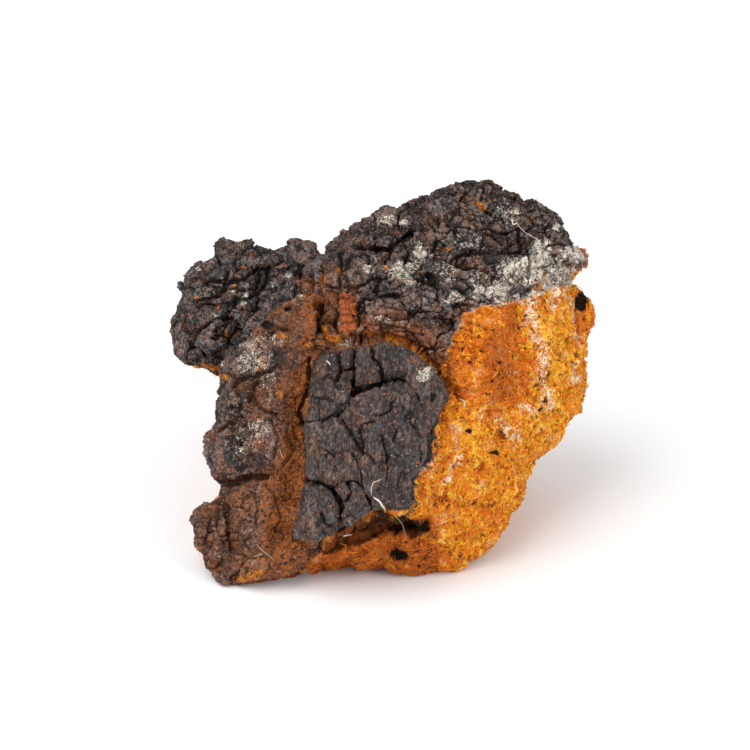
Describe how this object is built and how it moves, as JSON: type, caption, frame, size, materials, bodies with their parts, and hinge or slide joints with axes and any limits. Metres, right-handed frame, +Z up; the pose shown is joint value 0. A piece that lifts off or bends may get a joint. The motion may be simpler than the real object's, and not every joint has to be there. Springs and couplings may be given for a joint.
{
  "type": "chaga",
  "caption": "Broken-off lump of chaga fungus with a black cracked crust, a lobe behind and bare rust-orange flesh on its torn side.",
  "frame": {"origin": "centre of the bounding box, on the flat-trimmed foot that it rests on", "axes": "+Z up from the foot, -Y towards the side with the raised black plate, +X towards the bare orange flesh"},
  "size_m": [0.1236, 0.1062, 0.0998],
  "materials": {
    "crust": "matt charred-looking cracked crust, breaking to rust-brown and orange corky flesh where it tore off"
  },
  "bodies": {
    "root": {"chaga": "crust"}
  },
  "joints": []
}
